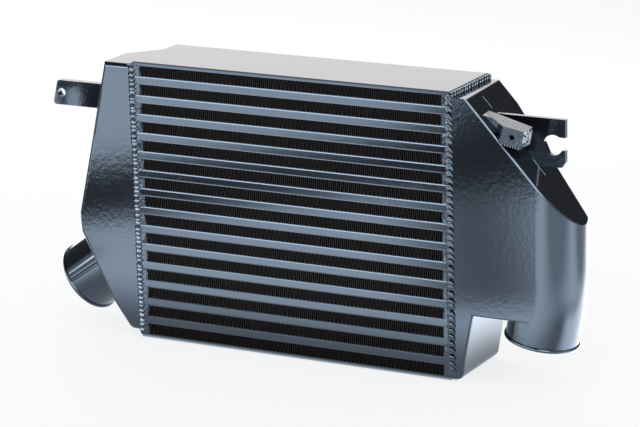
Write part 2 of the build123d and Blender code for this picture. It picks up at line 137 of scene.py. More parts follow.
def coat(name, colour, peel_mm, peel_height_mm, grain_mm, grain_height_mm, roughness=0.13):
    """Gloss powder coat with an orange peel and a finer grain, each of a given size and height."""
    material, tree, shader = new_material(
        name, colour, Roughness=roughness, IOR=coat_ior, Specular_Tint=coat_tint
    )
    place = add_node(tree, "ShaderNodeTexCoord").outputs["Object"]
    normal = None
    for size, height in ((peel_mm, peel_height_mm), (grain_mm, grain_height_mm)):
        wave = add_node(
            tree,
            "ShaderNodeTexNoise",
            {"Vector": place},
            {"Scale": 1 / (size * mm), "Detail": 1.5, "Roughness": 0.4},
        )
        links = {"Height": wave.outputs["Fac"]}
        if normal:
            links["Normal"] = normal
        bump = add_node(
            tree, "ShaderNodeBump", links, {"Strength": 1.0, "Distance": height * mm}
        )
        normal = bump.outputs["Normal"]
    tree.links.new(normal, shader.inputs["Normal"])
    return material, tree, shader, place


# A bar is pressed through a die, so its peel is long and low and its mirror image is calm.
bar_coat = coat("powder_coat_on_bar", "#17181f", 9.0, 0.022, 2.2, 0.003, roughness=0.11)[0]
# A rolled plate is the flattest ground, and only a slow wave runs through what it mirrors.
plate_coat = coat("powder_coat_on_plate", "#17181f", 14.0, 0.03, 3.0, 0.004)[0]
# Sand leaves a pebbled skin under the coat, so edges in the mirror image look frayed.
cast_coat = coat("powder_coat_on_casting", "#17181f", 4.6, 0.06, 2.0, 0.03, roughness=0.11)[0]
# A turned tube is the smoothest ground, and its bands of light have the sharpest edges.
pipe_coat = coat("powder_coat_on_tube", "#131419", 22.0, 0.02, 5.0, 0.003, roughness=0.06)[0]
# A weld is rough under the coat, so each ripple has a small dull glint.
weld_coat = coat("powder_coat_on_weld", "#16171d", 3.0, 0.05, 1.2, 0.015, roughness=0.16)[0]
print("coats:", *(m.name for m in (bar_coat, plate_coat, cast_coat, pipe_coat, weld_coat)))

# %% [markdown]
# Dust hardly flies in between the folds of the fins, so there the coat is thin, brownish and half
# matt, and inside the core the sheet is still bare metal. Both finishes are plain, because a bump on
# sheet that is seen edge on wouldn't show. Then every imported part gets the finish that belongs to
# the start of its name, which is shorter than a list of all the parts.

# %% Thin coat, bare metal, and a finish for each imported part
# Half matt, so the fins stay a warm dark grey from every side.
fin_coat = new_material("thin_coat_on_fins", "#1b1211", Roughness=0.38, IOR=1.34)[0]
# Rolled sheet mirrors softly, as a pale grey.
bare_fin = new_material("rolled_aluminium", "#b9bbbd", Metallic=1.0, Roughness=0.35)[0]

materials_by_start = {
    "front_bar": bar_coat,
    "rear_bar": bar_coat,
    "left_end_bars": bar_coat,
    "right_end_bars": bar_coat,
    "parting_plates": bar_coat,
    "top_side_plate": plate_coat,
    "bottom_side_plate": plate_coat,
    "left_end_tank": cast_coat,
    "right_end_tank": cast_coat,
    "inlet_pipe": pipe_coat,
    "inlet_weld": weld_coat,
    "left_tank_weld": weld_coat,
    "right_tank_weld": weld_coat,
    "air_fin": fin_coat,
    "charge_fins": bare_fin,
}
for name, node in nodes.items():
    for start, material in materials_by_start.items():
        if name.startswith(start):
            node.data.materials.clear()
            node.data.materials.append(material)
print("finishes on the packed parts:", len(set(materials_by_start.values())))

# %% [markdown]
# Modelling here goes as it would by hand: start from a primitive, pick vertices or edges by where they
# are, extrude or bevel them, apply the modifiers. These helpers keep those steps short. Elements could
# be picked by their numbers, but numbers change with every cut, and places don't.

# %% Helpers for starting and picking
# Places that are closer than this count as one. A direction counts as an axis from this share on.
near = mm / 10
mostly = 0.9


def deselect_all():
    bpy.ops.object.select_all(action="DESELECT")


def add_box(low, high):
    """A cube primitive stretched between two corners, with its place in its mesh."""
    deselect_all()
    bpy.ops.mesh.primitive_cube_add(size=1)
    box = bpy.context.object
    box.scale = Vector(high) - Vector(low)
    box.location = (Vector(high) + Vector(low)) / 2
    bpy.ops.object.transform_apply(location=True, rotation=True, scale=True)
    return box


def pick(piece, kind, wanted):
    """In edit mode, select only the vertices, edges or faces that a test accepts."""
    bpy.ops.mesh.select_mode(type=kind)
    bpy.ops.mesh.select_all(action="DESELECT")
    bpy.ops.object.mode_set(mode="OBJECT")
    elements = {"VERT": "vertices", "EDGE": "edges", "FACE": "polygons"}[kind]
    for element in getattr(piece.data, elements):
        element.select = wanted(element)
    bpy.ops.object.mode_set(mode="EDIT")


def edge_middle(piece, edge):
    a, b = (piece.data.vertices[v].co for v in edge.vertices)
    return (a + b) / 2


def runs_along(piece, edge, axis):
    """Whether an edge lies along the axis called x, y or z."""
    a, b = (piece.data.vertices[v].co for v in edge.vertices)
    return abs(getattr((b - a).normalized(), axis)) > mostly


# %% [markdown]
# A finished piece has its place in its mesh, a name, a finish, and the body that it rides on. Copies
# could share one mesh, but each has its own here, so that it can be moved and turned for good.

# %% Helpers for finishing and copying
def make_active(piece):
    deselect_all()
    piece.select_set(True)
    bpy.context.view_layer.objects.active = piece


def apply_modifiers(piece):
    bpy.context.view_layer.objects.active = piece
    for modifier in list(piece.modifiers):
        bpy.ops.object.modifier_apply(modifier=modifier.name)


def smooth(piece, degrees=40):
    make_active(piece)
    bpy.ops.object.shade_smooth_by_angle(angle=radians(degrees))


def finish_piece(piece, name, material):
    """Name a finished piece, put its place into its mesh and let it ride with the object."""
    make_active(piece)
    bpy.ops.object.transform_apply(location=True, rotation=True, scale=True)
    piece.name = name
    piece.data.name = name
    piece.data.materials.clear()
    piece.data.materials.append(material)
    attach(piece, "root")


def copy_at(piece, place=(0, 0, 0)):
    """A copy with its own mesh, moved by a vector."""
    copy = bpy.data.objects.new(piece.name, piece.data.copy())
    copy.data.transform(Matrix.Translation(place))
    bpy.context.scene.collection.objects.link(copy)
    return copy


def join(pieces):
    deselect_all()
    for piece in pieces:
        piece.select_set(True)
    bpy.context.view_layer.objects.active = pieces[0]
    bpy.ops.object.join()
    return pieces[0]


# %% [markdown]
# The fins are one long strip of thin sheet, folded up and down by a pair of toothed rollers. A box
# per fin would lose the round crests, so one wave is drawn as an edge that is extruded along its
# path, and its corners are bevelled round. The legs lean a little, as rolled fins do.

# %% One wave of fin
fin_low, fin_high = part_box("air_fin_01")
fin_row_nodes = sorted(name for name in nodes if name.startswith("air_fin"))
fin_pitch = 4.3 * mm
fin_waves = int((fin_high.x - fin_low.x) / fin_pitch)
fin_wave = (fin_high.x - fin_low.x) / fin_waves
fin_sheet = 0.34 * mm
fin_depth = fin_high.y - fin_low.y
fin_rise = fin_high.z - fin_low.z - fin_sheet
leg_lean = 0.11 * fin_wave
crest_radius = 0.17 * fin_wave

deselect_all()
bpy.ops.mesh.primitive_plane_add(size=1, location=(0, 0, 0))
wave = bpy.context.object
bpy.ops.object.mode_set(mode="EDIT")
pick(wave, "VERT", lambda v: v.co.x > 0)
bpy.ops.mesh.delete(type="VERT")
bpy.ops.mesh.select_all(action="SELECT")
bpy.ops.transform.resize(value=(1, fin_depth, 1))
bpy.ops.transform.translate(value=(0.5, 0, 0))
flat_run = fin_wave / 2 - leg_lean
path = (
    (flat_run / 2, 0),
    (leg_lean, fin_rise),
    (flat_run, 0),
    (leg_lean, -fin_rise),
    (flat_run / 2, 0),
)
for run, rise in path:
    bpy.ops.mesh.extrude_region_move(TRANSFORM_OT_translate={"value": (run, 0, rise)})
seam = fin_wave / 20
pick(
    wave,
    "EDGE",
    lambda e: runs_along(wave, e, "y") and seam < edge_middle(wave, e).x < fin_wave - seam,
)
bpy.ops.mesh.bevel(offset=crest_radius, segments=3, affect="EDGES")
bpy.ops.object.mode_set(mode="OBJECT")
print("faces in a wave:", len(wave.data.polygons))

# %% [markdown]
# Every row of the core holds the same folded sheet. The wave could be extruded on, fold after fold,
# but an array repeats it without a mistake, and Solidify then gives the sheet its thickness. The row
# is made once, and each copy is lifted to its place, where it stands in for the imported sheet.

# %% Rows of fins
repeat = wave.modifiers.new("repeat", "ARRAY")
repeat.count = fin_waves
repeat.use_relative_offset = False
repeat.use_constant_offset = True
repeat.constant_offset_displace = (fin_wave, 0, 0)
repeat.use_merge_vertices = True
repeat.merge_threshold = fin_sheet / 20
sheet = wave.modifiers.new("sheet", "SOLIDIFY")
sheet.thickness = fin_sheet
sheet.offset = 0
apply_modifiers(wave)
smooth(wave)

for name in fin_row_nodes:
    low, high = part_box(name)
    row = copy_at(wave, (low.x, 0, low.z + fin_sheet / 2))
    finish_piece(row, "folded_" + name.removeprefix("air_"), fin_coat)
    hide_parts(name)
bpy.data.objects.remove(wave)
print("fin rows:", len(fin_row_nodes), "faces a row:", len(row.data.polygons))

# %% [markdown]
# The bars are extruded, and in the brazing oven the cladding of the parting plates melts and runs
# along them, so a bar and its two plates show as one strip. Its face is slightly crowned: along its
# top and bottom it leans back by about twelve degrees, and that is why a bright line runs along its
# upper edge. A plain bevel would roll the edge round and lose that line. So a box has its long outer
# edges bevelled wide, the new edges are pulled forward to a shallow lean, and only then are they
# rounded.

# %% One strip with leaning edges
strip_edge_radius = 0.3 * mm
# A facet leans more than this, so it keeps a tone of its own, and the small rounding is smooth.
strip_smooth_degrees = 9


def make_bar(low, high, tall, deep, lower_too=True):
    """A strip with its face towards -Y; facets so tall lean back so deep along its long edges."""
    bar = add_box(low, high)
    face = low[1]
    middle = (low[2] + high[2]) / 2
    bpy.ops.object.mode_set(mode="EDIT")
    pick(
        bar,
        "EDGE",
        lambda e: runs_along(bar, e, "x")
        and abs(edge_middle(bar, e).y - face) < near
        and (lower_too or edge_middle(bar, e).z > middle),
    )
    bpy.ops.mesh.bevel(offset=tall, segments=1, affect="EDGES")
    pick(bar, "VERT", lambda v: abs(v.co.y - face - tall) < near)
    bpy.ops.transform.translate(value=(0, deep - tall, 0))
    pick(
        bar,
        "EDGE",
        lambda e: runs_along(bar, e, "x") and abs(edge_middle(bar, e).y - face - deep) < near,
    )
    bpy.ops.mesh.bevel(offset=strip_edge_radius, segments=3, affect="EDGES")
    bpy.ops.object.mode_set(mode="OBJECT")
    smooth(bar, strip_smooth_degrees)
    return bar


# %% [markdown]
# Fourteen bars close the charge passages at the front and as many at the back. One is made, covers
# the edges of the plates above and below it, and stands a hair proud of the core. The others are
# copies of it, turned round for the back.

# %% Bars that close the charge passages
plate_cover = 0.55 * mm
proud = 0.12 * mm
half_turn = Matrix.Rotation(pi, 4, "Z")

bar_low, bar_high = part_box("front_bar_01")
bar = make_bar(
    (bar_low.x, bar_low.y - proud, bar_low.z - plate_cover),
    (bar_high.x, bar_high.y, bar_high.z + plate_cover),
    tall=1.2 * mm,
    deep=0.26 * mm,
)
bar_nodes = sorted(name for name in nodes if name.startswith(("front_bar", "rear_bar")))
for name in bar_nodes:
    low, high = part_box(name)
    strip = copy_at(bar, (0, 0, low.z - bar_low.z))
    if name.startswith("rear"):
        strip.data.transform(half_turn)
    finish_piece(strip, "soft_" + name, bar_coat)
    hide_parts(name)
bpy.data.objects.remove(bar)
print("bars:", len(bar_nodes), "faces a bar:", len(strip.data.polygons))

# %% [markdown]
# The parting plates are thin sheet between the rows. Their edges have melted into the bars. The
# packed plates could stay as they are, but they reach the face of the core, and a second edge would
# show beside the strips, so new ones end a little behind it.

# %% Parting plates
plate_low, plate_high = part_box("parting_plates")
plate_recess = 1.3 * mm
plate_sheet = 0.6 * mm
plates = []
for name in fin_row_nodes:
    low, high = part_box(name)
    for plate_floor in (low.z - plate_sheet, high.z):
        if plate_low.z - near < plate_floor < plate_high.z:
            plate = add_box(
                (plate_low.x, plate_low.y + plate_recess, plate_floor),
                (plate_high.x, plate_high.y - plate_recess, plate_floor + plate_sheet),
            )
            plates.append(plate)
finish_piece(join(plates), "brazed_plates", bar_coat)
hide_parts("parting_plates")
print("parting plates:", len(plates))

# %% [markdown]
# The side plates over and under the stack are thicker. The upper one leans back along its upper edge
# only, the lower one along both. A bar's front half and the same half turned round make a plate that
# leans on both sides, once the wall between them is deleted and the two are merged.

# %% Side plates
for name, tall, deep, lower_too in (
    ("top_side_plate", 1.5 * mm, 0.5 * mm, False),
    ("bottom_side_plate", 0.9 * mm, 0.5 * mm, True),
):
    low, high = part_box(name)
    front_half = make_bar(low, (high.x, 0, high.z), tall, deep, lower_too)
    back_half = copy_at(front_half)
    back_half.data.transform(half_turn)
    whole = join([front_half, back_half])
    bpy.ops.object.mode_set(mode="EDIT")
    pick(whole, "FACE", lambda f: abs(f.center.y) < near)
    bpy.ops.mesh.delete(type="FACE")
    bpy.ops.mesh.select_all(action="SELECT")
    bpy.ops.mesh.remove_doubles(threshold=mm / 100)
    bpy.ops.object.mode_set(mode="OBJECT")
    finish_piece(whole, "soft_" + name, plate_coat)
    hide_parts(name)
    print(name, "faces:", len(whole.data.polygons))

# %% [markdown]
# Between the bars, short blocks close the ends of the air rows. Braze and welding heat leave their
# outer edges lumpy. A bump would roughen only what they mirror and leave the edges straight, so each
# block is a box with its inner edge bevelled and extra cuts at its two ends, and the points there are
# shaken by up to half a millimetre.

# %% End blocks
inner_bevel = 1.3 * mm
end_reach = 1.4 * mm
end_shake = 0.5 * mm
for node_name, piece_name in (("left_end_bars", "left_blocks"), ("right_end_bars", "right_blocks")):
    low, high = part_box(node_name)
    inner = low.x if low.x > 0 else high.x
    blocks = []
    for fin_name in fin_row_nodes:
        fin_bottom, fin_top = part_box(fin_name)
        block = add_box(
            (low.x, low.y - proud / 2, fin_bottom.z - plate_cover),
            (high.x, high.y + proud / 2, fin_top.z + plate_cover),
        )
        blocks.append(block)
    blocks = join(blocks)
    bpy.ops.object.mode_set(mode="EDIT")
    pick(
        blocks,
        "EDGE",
        lambda e: runs_along(blocks, e, "z") and abs(edge_middle(blocks, e).x - inner) < near,
    )
    bpy.ops.mesh.bevel(offset=inner_bevel, segments=3, affect="EDGES")
    for face_y in (low.y, high.y):
        # The faces near this end, the bevelled ones too, because they look outwards a little
        pick(
            blocks,
            "FACE",
            lambda f: abs(f.center.y - face_y) < end_reach and abs(f.normal.y) > 0.1,
        )
        bpy.ops.mesh.subdivide(number_cuts=5)
        bpy.ops.mesh.select_mode(type="VERT")
        bpy.ops.transform.vertex_random(offset=end_shake, uniform=0, normal=0, seed=5)
    bpy.ops.object.mode_set(mode="OBJECT")
    smooth(blocks, degrees=50)
    finish_piece(blocks, piece_name, weld_coat)
    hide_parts(node_name)
    print(piece_name, "faces:", len(blocks.data.polygons))

# %% [markdown]
# The tanks are welded to the core by hand. Each dip of the filler rod leaves one ripple that
# overlaps the one before, like fish scales. A tube with a bump would look striped but keep a straight
# edge, so every ripple is there. One is a sphere, and its copies are flattened and leant, so that the
# edge that lies over the older ripple stands up. They differ a little in size and place, because no
# hand is perfectly even.

# %% One weld ripple
deselect_all()
bpy.ops.mesh.primitive_uv_sphere_add(segments=22, ring_count=10, radius=1)
ripple = bpy.context.object
ripple.name = "ripple"
bpy.ops.object.shade_smooth()
print("faces in a ripple:", len(ripple.data.polygons))

chance = random.Random(7)
# How uneven the hand is: shares of a step, of the width and of the half width, and radians of tilt.
uneven_step = 0.22
narrowest, widest = 0.93, 1.05
uneven_side = 0.05
uneven_tilt = 0.07


def lay_bead(start, end, outwards, widths, pitch, lean=0.42, length=1.05, thickness=0.34):
    """Ripples from start to end, leant by so many radians.

    The widths are the half widths at both ends. The length is a share of the pitch, and the
    thickness is a share of the half width.
    """
    start, end, outwards = Vector(start), Vector(end), Vector(outwards).normalized()
    along = (end - start).normalized()
    across = outwards.cross(along)
    count = round((end - start).length / pitch)
    copies = []
    for i in range(count + 1):
        share = (i + chance.uniform(-uneven_step, uneven_step)) / count
        half_width = widths[0] + (widths[1] - widths[0]) * share
        half_width *= chance.uniform(narrowest, widest)
        tilt = lean + chance.uniform(-uneven_tilt, uneven_tilt)
        axis = outwards * cos(tilt) + along * sin(tilt)
        back = axis.cross(across)
        turn = Matrix((across, back, axis)).transposed().to_4x4()
        shape = Matrix.Diagonal((half_width, pitch * length, half_width * thickness, 1))
        aside = across * chance.uniform(-uneven_side, uneven_side) * half_width
        copy = copy_at(ripple)
        copy.data.transform(Matrix.Translation(start.lerp(end, share) + aside) @ turn @ shape)
        copies.append(copy)
    return copies


def finish_bead(copies, name, node):
    bead = join(copies)
    bpy.ops.object.mode_set(mode="EDIT")
    bpy.ops.mesh.select_all(action="SELECT")
    bpy.ops.mesh.normals_make_consistent(inside=False)
    bpy.ops.object.mode_set(mode="OBJECT")
    finish_piece(bead, name, weld_coat)
    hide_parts(node)
    print(name, "faces:", len(bead.data.polygons))


# %% [markdown]
# The inlet tank is welded on along its front, its back and its foot. At the top the weld has been
# ground down into a slope between the plate and the casting. Ripples that are cut off there would
# need many cuts, so the slope is a box of its own whose outer upper points are lowered, and the bead
# stops short of the top.

# %% Bead of the left tank
core_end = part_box("right_end_bars")[1].x
core_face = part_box("right_end_bars")[1].y
core_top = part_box("top_side_plate")[1].z
left_low, left_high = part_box("left_end_tank")
right_low, right_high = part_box("right_end_tank")
sink = 0.4 * mm
end_gap = 4 * mm
ground_width = 6.5 * mm
ground_depth_share = 0.32

ground = add_box(
    (-core_end - ground_width, -core_face, left_high.z - mm),
    (-core_end + mm, core_face * ground_depth_share, core_top),
)
bpy.ops.object.mode_set(mode="EDIT")
pick(ground, "VERT", lambda v: v.co.x < -core_end - mm and v.co.z > left_high.z)
bpy.ops.transform.translate(value=(0, 0, left_high.z - core_top + mm / 5))
bpy.ops.object.mode_set(mode="OBJECT")

left_seam = []
for out, top in ((-1, core_top - 5.6 * mm), (1, left_high.z - 3 * end_gap)):
    left_seam += lay_bead(
        (-core_end + 0.2 * mm, out * (core_face - sink), left_low.z + end_gap),
        (-core_end - 1.3 * mm, out * (core_face - sink), top),
        outwards=(0, out, 0),
        widths=(3.9 * mm, 4.4 * mm),
        pitch=4.7 * mm,
        lean=0.5,
    )
left_seam += lay_bead(
    (-core_end, -core_face + end_gap, left_low.z - mm),
    (-core_end, core_face - end_gap, left_low.z - mm),
    outwards=(0, 0, -1),
    widths=(3.0 * mm, 3.0 * mm),
    pitch=4.6 * mm,
)
finish_bead([*left_seam, ground], "left_weld_bead", "left_tank_weld")

# %% [markdown]
# The outlet tank's beads are laid in longer steps, from the top down. A third one crosses the top
# from the back to the front. Its ripples are short and stand almost upright, so that thin bright
# crests show from the front. Seen from the side there would be gaps between them, so a bar with
# rounded upper edges fills the bead from below.

# %% Bead of the right tank
right_seam = []
for out in (-1, 1):
    right_seam += lay_bead(
        (core_end - 0.6 * mm, out * (core_face - sink), right_high.z - 1.5 * mm),
        (core_end + 0.8 * mm, out * (core_face - sink), right_low.z + 2 * end_gap),
        outwards=(0, out, 0),
        widths=(4.0 * mm, 4.6 * mm),
        pitch=6.2 * mm,
    )
top_bead_x = core_end + 0.4 * mm
top_bead_z = core_top - 3.9 * mm
right_seam += lay_bead(
    (top_bead_x, core_face - mm, top_bead_z),
    (top_bead_x, -core_face + 2 * mm, top_bead_z),
    outwards=(0, 0, 1),
    widths=(4.0 * mm, 4.0 * mm),
    pitch=5.4 * mm,
    lean=1.15,
    length=0.72,
    thickness=0.40,
)
filler = add_box(
    (core_end - mm, -core_face + mm, right_high.z - 3 * mm),
    (core_end + 3.0 * mm, core_face - mm, core_top - 0.9 * mm),
)
bpy.ops.object.mode_set(mode="EDIT")
pick(
    filler,
    "EDGE",
    lambda e: runs_along(filler, e, "y") and edge_middle(filler, e).z > right_high.z,
)
bpy.ops.mesh.bevel(offset=1.4 * mm, segments=3, affect="EDGES")
bpy.ops.object.mode_set(mode="OBJECT")
smooth(filler, degrees=50)
finish_bead([*right_seam, filler], "right_weld_bead", "right_tank_weld")
bpy.data.objects.remove(ripple)

# %% [markdown]
# The tapped block is cast with the tank, at the end of an arm that droops by ten degrees, and then
# sawn and milled. Its tool marks could be placed in the frame of the whole object, but they are
# easier to write down along the arm and turned with it once they are made.

# %% Place of the block
block_origin = Vector((core_end + 30 * mm, 0, 259.7 * mm))
block_place = Matrix.Translation(block_origin) @ Matrix.Rotation(radians(10), 4, "Y")
block_left, block_right = 28.1 * mm, 49.6 * mm
block_front, block_back = -50.3 * mm, -29.6 * mm
arm_front, arm_back = -37.6 * mm, -18.6 * mm
block_tall = 16.5 * mm
skin = 0.12 * mm
print("block's end at", [round(c, 3) for c in block_place @ Vector((block_right, 0, 0))])

# %% [markdown]
# A milling cutter leaves long fine streaks along its way, and they still show through the coat as a
# brushed look. A noise that is stretched along X draws them as a bump over the usual peel. Real
# streaks lie a tenth of a millimetre apart and would vanish in the picture, so they are drawn nine
# times as wide.

# %% Coat on the milled face
streak_length, streak_width, streak_height = 16.67 * mm, 0.909 * mm, 0.12 * mm
milled_coat, milled_tree, milled_shader, milled_place = coat(
    "powder_coat_on_milled_face", "#17181f", 6.0, 0.03, 1.0, 0.02, roughness=0.2
)
streak_map = add_node(
    milled_tree,
    "ShaderNodeMapping",
    {"Vector": milled_place},
    {"Scale": (1 / streak_length, 1 / streak_width, 1 / streak_length)},
)
streaks = add_node(
    milled_tree,
    "ShaderNodeTexNoise",
    {"Vector": streak_map.outputs["Vector"]},
    {"Scale": 1.0, "Detail": 2.0},
)
peel_normal = milled_shader.inputs["Normal"].links[0].from_socket
streak_bump = add_node(
    milled_tree,
    "ShaderNodeBump",
    {"Height": streaks.outputs["Fac"], "Normal": peel_normal},
    {"Strength": 1.0, "Distance": streak_height},
)
milled_tree.links.new(streak_bump.outputs["Normal"], milled_shader.inputs["Normal"])
print("nodes in the milled coat:", len(milled_tree.nodes))

# %% [markdown]
# The front of the block is sawn and left rough, so the coat on it is pitted. Its colour is also a shade
# lighter, as a painted reflection that stands in for a brighter mirror image on that face. The face
# belongs to the imported casting, which keeps its shape. It gets a second finish, and only the faces in
# front of all the others take it.

# %% Coat on the sawn front
sawn_front_from = -46 * mm
# Deep pits two millimetres wide scatter the mirror image into dull grey grains.
# The lighter colour is a painted reflection that brightens the front faces; the pits are real bumps.
pitted_front_painted_lighter = coat("pitted_coat_painted_lighter", "#20222a", 2.6, 0.30, 1.1, 0.10, roughness=0.22)[0]
tank = nodes["right_end_tank"]
tank.data.materials.append(pitted_front_painted_lighter)
sawn_faces = [face for face in tank.data.polygons if face.center.y < sawn_front_from]
for face in sawn_faces:
    face.material_index = 1
print("sawn faces:", len(sawn_faces))

# %% [markdown]
# The milled top runs along the arm and over the block, which is wider and stands further forward. One
# thin skin covers both: a flat box over the block, whose inner end face is extruded along the arm and
# then slid back to the arm's own front and back.

# %% Milled top
top_skin = add_box((block_left, block_front, -skin / 4), (block_right, block_back, skin))
block_middle = (block_front + block_back) / 2


def is_arm(vertex):
    return vertex.co.x < block_left / 2


bpy.ops.object.mode_set(mode="EDIT")
pick(top_skin, "FACE", lambda f: f.normal.x < -mostly)
bpy.ops.mesh.extrude_region_move(TRANSFORM_OT_translate={"value": (-block_left, 0, 0)})
pick(top_skin, "VERT", lambda v: is_arm(v) and v.co.y < block_middle)
bpy.ops.transform.translate(value=(0, arm_front - block_front, 0))
pick(top_skin, "VERT", lambda v: is_arm(v) and v.co.y > block_middle)
bpy.ops.transform.translate(value=(0, arm_back - block_back, 0))
bpy.ops.object.mode_set(mode="OBJECT")
top_skin.data.transform(block_place)
finish_piece(top_skin, "milled_block_top", milled_coat)
print("faces on the milled top:", len(top_skin.data.polygons))

# %% [markdown]
# The saw has torn the end of the block into small flat chips. A bump can't glint as chips do, because
# they catch light one by one. So a plate on the end is cut into squares, and all points but those at
# its rim are shaken. It stays flat shaded.

# %% Sawn end
end_rim = mm / 2
chip_shake = 1.3 * mm
sawn_end = add_box(
    (block_right - skin, block_front + end_rim, -block_tall + end_rim),
    (block_right + skin, block_back - end_rim, -end_rim),
)
bpy.ops.object.mode_set(mode="EDIT")
pick(sawn_end, "FACE", lambda f: f.normal.x > mostly)
bpy.ops.mesh.subdivide(number_cuts=7)
pick(
    sawn_end,
    "VERT",
    lambda v: v.co.x > block_right
    and block_front + mm < v.co.y < block_back - mm
    and -block_tall + mm < v.co.z < -mm,
)
bpy.ops.transform.vertex_random(offset=chip_shake, uniform=0, normal=0, seed=3)
bpy.ops.object.mode_set(mode="OBJECT")
sawn_end.data.transform(block_place)
finish_piece(sawn_end, "sawn_block_end", weld_coat)
print("faces on the sawn end:", len(sawn_end.data.polygons))

# %% [markdown]
# Along the front lower edge of the block the coat has chipped off in a row of slanting nicks, and
# bare metal shows in them as short pale dashes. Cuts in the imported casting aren't possible, so each
# nick is a sliver that lies on the edge: a small box with all its edges bevelled.

# %% Nicks along the lower edge
# Torn metal scatters light like chalk, so it has no mirror in it.
chipped = new_material("bare_chipped_metal", "#c9cbd2", Roughness=0.55)[0]
nick_count = 7
nick_half = Vector((0.3 * mm, 0.3 * mm, 1.2 * mm))
nick_bevel = 0.12 * mm
nick_slant = Matrix.Rotation(radians(22), 4, "Y")
first_nick = Vector((block_left + 2.2 * mm, block_front + 0.35 * mm, -block_tall - 0.4 * mm))
nick_step = Vector((2.8 * mm, 0, 0))
nicks = []
for i in range(nick_count):
    nick = add_box(-nick_half, nick_half)
    bpy.ops.object.mode_set(mode="EDIT")
    bpy.ops.mesh.select_all(action="SELECT")
    bpy.ops.mesh.bevel(offset=nick_bevel, segments=2, affect="EDGES")
    bpy.ops.object.mode_set(mode="OBJECT")
    nick_place = Matrix.Translation(first_nick + nick_step * i)
    nick.data.transform(block_place @ nick_place @ nick_slant)
    nicks.append(nick)
finish_piece(join(nicks), "cutter_nicks", chipped)
print("nicks:", len(nicks))

# %% [markdown]
# Dust that settles on the dry powder before it is baked stays as nibs in the skin: a few bumps, each
# smaller than a grain of rice, on the bars and the tanks. A sharp bump pattern could draw them, but
# it would draw them everywhere, and there are only eight. One is a ball whose points are shaken, and
# every copy is pressed flat against the surface that it sits on.

# %% Dust nibs in the coating
deselect_all()
bpy.ops.mesh.primitive_ico_sphere_add(subdivisions=2, radius=1)
nib = bpy.context.object
bpy.ops.object.mode_set(mode="EDIT")
bpy.ops.mesh.select_all(action="SELECT")
bpy.ops.transform.vertex_random(offset=0.2, uniform=0, normal=0, seed=9)
bpy.ops.object.mode_set(mode="OBJECT")
bpy.ops.object.shade_smooth()

nib_shape = Matrix.Diagonal((0.85 * mm, 0.65 * mm, 0.4 * mm, 1))
forward, up = (0, -1, 0), (0, 0, 1)
nib_places_mm = (
    ((-64.2, -43.1, 260.3), forward),
    ((-41.1, -43.1, 261.4), forward),
    ((-113.0, -43.1, 229.1), forward),
    ((-120.8, -43.1, 168.2), forward),
    ((231.2, -43.0, 108.4), forward),
    ((-177.4, -6.8, 277.0), up),
    ((-177.2, 8.6, 277.0), up),
    ((180.0, -9.2, 274.7), up),
)
dust = []
for place_mm, outwards in nib_places_mm:
    grain = copy_at(nib)
    turn = Vector(outwards).to_track_quat("Z", "Y").to_matrix().to_4x4()
    grain.data.transform(Matrix.Translation(Vector(place_mm) * mm) @ turn @ nib_shape)
    dust.append(grain)
finish_piece(join(dust), "dust_nibs", weld_coat)
bpy.data.objects.remove(nib)
print("nibs:", len(dust))

# %% [markdown]
# The two halves of the sand mould leave a thin raised line where they met. It runs down the sloping
# side of the outlet tank in the plane of the bracket, which hides its middle. A line that is drawn by
# eye would float over the slope or sink into it, so its points are dropped onto the casting from
# above. They make a curve with a small round section, which is turned to mesh.

# %% Parting line of the casting
line_y = -9.4 * mm
line_radius = 0.42 * mm


def on_tank(x, y):
    """Point of the outlet tank's upper side over a place on the floor."""
    above = Vector((x, y, 0.4))
    hit, place, normal, face = tank.ray_cast(above, Vector((0, 0, -1)))
    return place


def add_ridge(points, name):
    """A thin raised line through points, with closed ends."""
    curve = bpy.data.curves.new(name, "CURVE")
    curve.dimensions = "3D"
    curve.bevel_depth = line_radius
    curve.bevel_resolution = 2
    curve.use_fill_caps = True
    spline = curve.splines.new("POLY")
    spline.points.add(len(points) - 1)
    for point, place in zip(spline.points, points):
        point.co = (*place, 1)
    ridge = bpy.data.objects.new(name, curve)
    bpy.context.scene.collection.objects.link(ridge)
    make_active(ridge)
    bpy.ops.object.convert(target="MESH")
    smooth(ridge, degrees=60)
    finish_piece(ridge, name, cast_coat)


for name, first_mm, step_mm, count in (
    ("upper_parting_line", 19, 0.9, 12),
    ("lower_parting_line", 70, 1.6, 9),
):
    points = [on_tank(core_end + (first_mm + step_mm * i) * mm, line_y) for i in range(count)]
    add_ridge(points, name)
    print(name, "from", [round(c, 3) for c in points[0]])

# %% [markdown]
# The object stands on white paper. In the picture the paper runs into the white behind it and keeps
# only a soft shadow. More light could wash it out, but that would wash out the object too. So the
# paper glows by itself, for the camera only, and takes the rest of its white from the lamps, which
# leaves the shadow in.

# %% Floor
floor_size = 14.0
floor_drop = 0.0006
glow_share = 0.72
floor_paper, floor_tree, floor_shader = new_material("white_paper", "#f4f4f4", Roughness=0.9)
ray = add_node(floor_tree, "ShaderNodeLightPath")
glow = add_node(floor_tree, "ShaderNodeEmission", None, {"Color": white, "Strength": 1.0})
share_of_glow = add_node(
    floor_tree,
    "ShaderNodeMath",
    {0: ray.outputs["Is Camera Ray"]},
    {1: glow_share},
    operation="MULTIPLY",
)
floor_mix = add_node(
    floor_tree,
    "ShaderNodeMixShader",
    {0: share_of_glow.outputs[0], 1: floor_shader.outputs[0], 2: glow.outputs[0]},
)
floor_tree.links.new(
    floor_mix.outputs[0], floor_tree.nodes["Material Output"].inputs["Surface"]
)
deselect_all()
bpy.ops.mesh.primitive_plane_add(size=floor_size, location=(0, 0, -floor_drop))
floor = bpy.context.object
floor.name = "paper_floor"
floor.data.materials.append(floor_paper)
print("floor:", floor_size, "m wide")

# %% [markdown]
# A gloss black part shows only what it mirrors, so a studio puts cards around it. Here a card is a
# plane that glows, or a black one, with soft edges, and nothing but reflections can see it. Lamps
# could light up parts of the object too, but a lamp's mirror image has a hard rim and a card's fades.

# %% One card for the reflections
cards = []


